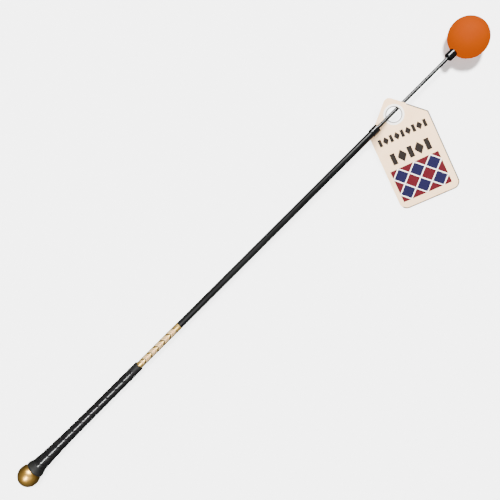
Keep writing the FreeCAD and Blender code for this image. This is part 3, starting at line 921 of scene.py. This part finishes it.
class MakeBand(StickOperator, bpy.types.Operator):
    """Printed foil band next to the grip"""

    bl_idname = "swing_stick.band"
    bl_label = "Foil band"

    def make(self, scene):
        shaft = scene.stick_shaft
        corners = [
            (shaft.band_start, shaft.band_radius, 0.04 * MM),
            (shaft.band_end, shaft.band_radius, 0.04 * MM),
            (shaft.band_end, shaft.band_bore, 0),
            (shaft.band_start, shaft.band_bore, 0),
        ]
        piece = turned("foil_band", divided(closed(rounded(corners, 3)), 5 * MM), 72)
        painted(piece, foil_finish(shaft))
        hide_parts("label_band")
        bends_with_shaft(piece, scene)


class MakeSleeve(StickOperator, bpy.types.Operator):
    """Flexible black sleeve"""

    bl_idname = "swing_stick.sleeve"
    bl_label = "Sleeve"

    def make(self, scene):
        shaft = scene.stick_shaft
        corners = [
            (shaft.sleeve_start, shaft.sleeve_radius, 0.4 * MM),
            (shaft.sleeve_end, shaft.sleeve_radius, 0.4 * MM),
            (shaft.sleeve_end, shaft.sleeve_bore, 0),
            (shaft.sleeve_start, shaft.sleeve_bore, 0),
        ]
        piece = turned("satin_sleeve", divided(closed(rounded(corners, 4)), 6 * MM), 64)
        painted(piece, sleeve_finish(shaft))
        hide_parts("sleeve")
        bends_with_shaft(piece, scene)


class MakeRod(StickOperator, bpy.types.Operator):
    """Core rod, bare between the sleeve's cap and the ferrule"""

    bl_idname = "swing_stick.rod"
    bl_label = "Core rod"

    def make(self, scene):
        shaft = scene.stick_shaft
        profile = np.array([
            (shaft.rod_start, 0),
            (shaft.rod_start, shaft.rod_radius),
            (shaft.rod_end, shaft.rod_radius),
            (shaft.rod_end, 0),
        ])
        piece = turned("fibre_rod", divided(profile, 8 * MM), 48)
        painted(piece, rod_finish(shaft))
        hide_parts("core_rod")
        bends_with_shaft(piece, scene)


class MakeCap(StickOperator, bpy.types.Operator):
    """Gloss cap on the sleeve's end"""

    bl_idname = "swing_stick.cap"
    bl_label = "Sleeve cap"

    def make(self, scene):
        shaft = scene.stick_shaft
        corners = [
            (shaft.cap_start, shaft.sleeve_radius, 0),
            (shaft.cap_start, shaft.cap_radius, 0.35 * MM),
            (shaft.cap_end, shaft.cap_radius, shaft.cap_round),
            (shaft.cap_end, shaft.rod_radius, 0.25 * MM),
            (shaft.sleeve_end, shaft.rod_radius, 0),
            (shaft.sleeve_end, shaft.sleeve_radius, 0),
        ]
        piece = turned("sleeve_cap", divided(closed(rounded(corners)), 3 * MM), 96)
        painted(piece, gloss_finish("gloss_cap", shaft, 0.16))
        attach(piece, "head")
        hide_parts("sleeve_end_cap")


class MakeFerrule(StickOperator, bpy.types.Operator):
    """Gloss ferrule with its bead, at the head ball's neck"""

    bl_idname = "swing_stick.ferrule"
    bl_label = "Ferrule"

    def make(self, scene):
        shaft = scene.stick_shaft
        corners = [
            (shaft.bead_start, shaft.rod_radius, 0.25 * MM),
            (shaft.bead_start, shaft.bead_radius, shaft.bead_round),
            (shaft.bead_end, shaft.bead_radius, 0.7 * MM),
            (shaft.bead_end, shaft.neck_radius, 0),
            (shaft.neck_end, shaft.neck_radius, 0),
            (shaft.neck_end, shaft.insert_radius, 0),
            (shaft.insert_start, shaft.insert_radius, 0),
            (shaft.insert_start, shaft.rod_radius, 0),
        ]
        piece = turned("neck_ferrule", divided(closed(rounded(corners, 10)), 3 * MM), 96)
        painted(piece, gloss_finish("gloss_ferrule", shaft, 0.18))
        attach(piece, "head")
        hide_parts("ball_ferrule")


class MakeHeadBall(StickOperator, bpy.types.Operator):
    """Orange rubber ball, bored for the ferrule and moulded round its insert"""

    bl_idname = "swing_stick.head_ball"
    bl_label = "Head ball"

    def make(self, scene):
        shaft = scene.stick_shaft
        mouth = math.asin(shaft.neck_radius / HEAD_RADIUS)
        bore = np.array([
            (shaft.neck_end, shaft.neck_radius),
            (shaft.neck_end, shaft.insert_radius),
            (shaft.flange_start, shaft.insert_radius),
            (shaft.flange_start, shaft.flange_radius),
            (shaft.flange_end, shaft.flange_radius),
            (shaft.flange_end, shaft.insert_radius),
            (shaft.insert_end, shaft.insert_radius),
            (shaft.insert_end, 0),
        ])
        profile = np.concatenate([arc(SPAN, HEAD_RADIUS, math.pi, mouth, 96), bore])
        piece = painted(turned("rubber_ball", profile, 176), head_rubber_finish(scene.stick_balls))
        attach(piece, "head")
        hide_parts("head_ball")


class MakeTagCard(StickOperator, bpy.types.Operator):
    """Card tag threaded on the bare rod"""

    bl_idname = "swing_stick.tag_card"
    bl_label = "Tag card"

    def make(self, scene):
        tag = scene.stick_tag
        half = tag.thickness / 2
        piece = sheet_with_hole("card_tag", tag, tag_outline(tag), tag.hole, -half, half, 0.12 * MM)
        painted(piece, card_finish(tag))
        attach(piece, "tag")
        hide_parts("tag_card")


class MakeTagRing(StickOperator, bpy.types.Operator):
    """Paper ring stuck round the tag's hole"""

    bl_idname = "swing_stick.tag_ring"
    bl_label = "Tag ring"

    def make(self, scene):
        tag = scene.stick_tag
        low = tag.thickness / 2
        share = np.linspace(0, 1, 97)[:, None]
        outline = tag.ring * np.concatenate([np.sin(TURN * share), np.cos(TURN * share)], axis=1)
        outline[-1] = outline[0]
        high = low + tag.ring_thickness
        piece = sheet_with_hole("paper_ring", tag, outline, tag.hole, low, high, 0.05 * MM)
        painted(piece, ring_finish(tag))
        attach(piece, "tag")
        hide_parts("tag_ring")


class FinishHardware(StickOperator, bpy.types.Operator):
    """Finishes of the inner pieces, which keep the frame's own shapes"""

    bl_idname = "swing_stick.hardware"
    bl_label = "Inner hardware"

    def make(self, scene):
        steel = hardware_finish("bright_steel", (0.58, 0.58, 0.57), (0.40, 0.40, 0.40), 1.0, 0.28, 400)
        alloy = hardware_finish("drawn_alloy", (0.72, 0.73, 0.74), (0.55, 0.56, 0.58), 1.0, 0.34, 250)
        tape = hardware_finish("grip_tape", (0.60, 0.55, 0.42), (0.48, 0.43, 0.31), 0.0, 0.70, 300)
        nylon = hardware_finish("bush_nylon", (0.62, 0.60, 0.54), (0.52, 0.50, 0.44), 0.0, 0.48, 200)
        finishes = {
            steel: ["counterweight_stud", "lock_washer", "handle_pin", "rod_pin"],
            alloy: ["butt_plug", "handle_tube", "ball_insert"],
            tape: ["grip_tape"],
            nylon: ["rear_bush", "front_bush"],
        }
        for finish, nodes in finishes.items():
            for node in nodes:
                painted(frame["nodes"][node], finish)


class MakeStudio(StickOperator, bpy.types.Operator):
    """Floor, lights and camera"""

    bl_idname = "swing_stick.studio"
    bl_label = "Studio"

    def make(self, scene):
        studio = scene.stick_studio
        floor = self.floor(scene, studio)
        self.sky(scene, studio)
        self.lights(scene, floor)
        camera = bpy.data.cameras.new("camera")
        camera.lens = studio.lens
        camera.sensor_width = 36
        camera.sensor_fit = "HORIZONTAL"
        camera.clip_start = 0.01
        stand = bpy.data.objects.new("camera", camera)
        stand.location = (studio.camera_x, studio.camera_y, studio.camera_height)
        stand.rotation_euler = (0, 0, studio.camera_turn)
        scene.collection.objects.link(stand)
        scene.camera = stand

    def floor(self, scene, studio):
        """A flat square just under the stick, pale and slightly bright of itself."""
        reach = np.linspace(-studio.floor / 2, studio.floor / 2, 9)
        x, y = np.meshgrid(reach, reach, indexing="ij")
        points = np.stack([x, y, 0 * x - 0.2 * MM], axis=-1)
        floor = skin("studio_floor", points, points[..., :2])
        if floor.data.polygons[0].normal.z < 0:
            floor.data.flip_normals()
        finish = Finish("studio_floor", Specular_IOR_Level=0.0, Roughness=1.0)
        cloud = finish.noise(finish.in_place(), 0.6, 2)
        finish.set("Base Color", finish.mix(cloud, studio.pale, tuple(0.98 * c for c in studio.pale)))
        finish.shader.inputs["Emission Color"].default_value = (1, 1, 1, 1)
        finish.shader.inputs["Emission Strength"].default_value = studio.glow
        painted(floor, finish)
        floor.visible_glossy = False
        floor.visible_diffuse = False
        return floor

    def sky(self, scene, studio):
        """Soft light from above, which fades out below the horizon so that dark edges stay dark."""
        world = bpy.data.worlds.new("studio_sky")
        world.use_nodes = True
        tree = world.node_tree
        ground = next(node for node in tree.nodes if node.type == "BACKGROUND")
        ground.inputs["Color"].default_value = (1, 1, 1, 1)
        direction = tree.nodes.new("ShaderNodeSeparateXYZ")
        tree.links.new(tree.nodes.new("ShaderNodeTexCoord").outputs["Generated"], direction.inputs[0])
        fade = tree.nodes.new("ShaderNodeMapRange")
        fade.inputs["From Min"].default_value = -0.35
        fade.inputs["From Max"].default_value = 0.25
        fade.inputs["To Min"].default_value = studio.sky * 0.25
        fade.inputs["To Max"].default_value = studio.sky
        tree.links.new(direction.outputs["Z"], fade.inputs["Value"])
        tree.links.new(fade.outputs[0], ground.inputs["Strength"])
        backdrop = tree.nodes.new("ShaderNodeBackground")
        backdrop.inputs["Strength"].default_value = studio.backdrop
        seen = tree.nodes.new("ShaderNodeLightPath").outputs["Is Camera Ray"]
        either = tree.nodes.new("ShaderNodeMixShader")
        tree.links.new(seen, either.inputs["Fac"])
        tree.links.new(ground.outputs[0], either.inputs[1])
        tree.links.new(backdrop.outputs[0], either.inputs[2])
        output = next(node for node in tree.nodes if node.type == "OUTPUT_WORLD")
        tree.links.new(either.outputs[0], output.inputs["Surface"])
        scene.world = world

    def lights(self, scene, floor):
        """Soft boxes given as name, place, point aimed at, width, length and watts.

        They leave the floor out, which has a soft sun of its own, so that its shadows stay faint."""
        off_floor = bpy.data.collections.new("all_but_the_floor")
        off_floor.objects.link(floor)
        off_floor.collection_objects[0].light_linking.link_state = "EXCLUDE"
        boxes = [
            ("key", (1.00, 0.92, 1.35), (0.25, 0.07, 0), 0.95, 0.34, 92),
            ("strip_grip", (-1.13, 0.10, 1.85), (-1.13, 0.10, 0), 1.15, 0.15, 58),
            ("fill", (-0.2, -0.9, 1.9), (0.1, 0.05, 0), 1.6, 1.0, 5),
            ("tag_lamp", (0.30, 0.30, 1.30), (0.38, 0.03, 0), 0.5, 0.5, 30, "card_tag", "paper_ring"),
            ("ball_lamp", (0.40, 0.02, 1.20), (0.517, 0.064, 0.035), 0.4, 0.4, 9, "rubber_ball"),
        ]
        for name, place, aim, width, height, watts, *only in boxes:
            lamp = bpy.data.lights.new(name, "AREA")
            lamp.shape = "RECTANGLE"
            lamp.size = width
            lamp.size_y = height
            lamp.energy = watts
            holder = bpy.data.objects.new(name, lamp)
            scene.collection.objects.link(holder)
            holder.location = place
            holder.rotation_euler = facing(place, aim)
            holder.visible_camera = False
            holder.light_linking.receiver_collection = collected(name, only) if only else off_floor
        self.floor_suns(scene, floor)

    def floor_suns(self, scene, floor):
        """Three suns that light only the floor. Each has its own pieces that throw its shadow.

        They are given as name, direction it shines from, apparent width in degrees, strength and
        pieces that block it."""
        ball = ["rubber_ball", "neck_ferrule"]
        tag = ["card_tag", "paper_ring"]
        shaft = ["counterweight", "grip_rubber", "wound_strip", "foil_band", "satin_sleeve",
                 "sleeve_cap", "fibre_rod"]
        suns = [
            ("sun_ball", (0.20, 0.25, 0.93), 9, 13, ball),
            ("sun_shaft", (0.20, 0.25, 0.93), 9, 5, shaft + ball),
            ("sun_tag", (0.36, 0.00, 0.93), 12, 2, tag),
        ]
        for name, source, width, strength, blockers in suns:
            sun = bpy.data.lights.new(name, "SUN")
            sun.energy = strength
            sun.angle = math.radians(width)
            holder = bpy.data.objects.new(name, sun)
            scene.collection.objects.link(holder)
            holder.rotation_euler = facing(source, (0, 0, 0))
            holder.light_linking.receiver_collection = collected(name + "_on", [floor.name])
            holder.light_linking.blocker_collection = collected(name + "_blocked_by", blockers)


def collected(name, pieces):
    """A collection of pieces, for a lamp that lights only them."""
    group = bpy.data.collections.new(name)
    for piece in pieces:
        group.objects.link(bpy.data.objects[piece])
    return group


def facing(place, aim):
    """Euler angles that turn a lamp's -Z axis from its place towards a point."""
    look = np.array(aim, float) - np.array(place, float)
    flat = math.hypot(look[0], look[1])
    if flat < 1e-6:
        return (0, 0, 0)
    return (math.atan2(flat, -look[2]), 0, math.atan2(-look[0], look[1]))


OPERATORS = (
    MakeCounterweight,
    MakeUnderlisting,
    MakeWrap,
    MakeBand,
    MakeSleeve,
    MakeRod,
    MakeCap,
    MakeFerrule,
    MakeHeadBall,
    MakeTagCard,
    MakeTagRing,
    FinishHardware,
    MakeStudio,
)


class SwingStickPanel(bpy.types.Panel):
    """Lists the stick's operators"""

    bl_idname = "VIEW3D_PT_swing_stick"
    bl_label = "Swing stick"
    bl_space_type = "VIEW_3D"
    bl_region_type = "UI"
    bl_category = "Swing Stick"

    def draw(self, context):
        for operator in OPERATORS:
            self.layout.operator(operator.bl_idname)


def register():
    for group_name, group in SIZE_GROUPS.items():
        bpy.utils.register_class(group)
        setattr(bpy.types.Scene, group_name, bpy.props.PointerProperty(type=group))
    for item in (*OPERATORS, SwingStickPanel):
        bpy.utils.register_class(item)


def unregister():
    for item in (SwingStickPanel, *reversed(OPERATORS)):
        bpy.utils.unregister_class(item)
    for group_name, group in SIZE_GROUPS.items():
        delattr(bpy.types.Scene, group_name)
        bpy.utils.unregister_class(group)


def main():
    """Registers the classes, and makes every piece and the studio."""
    register()
    for operator in OPERATORS:
        group, action = operator.bl_idname.split(".")
        getattr(getattr(bpy.ops, group), action)()
    bpy.context.view_layer.update()


if __name__ == "__main__":
    main()
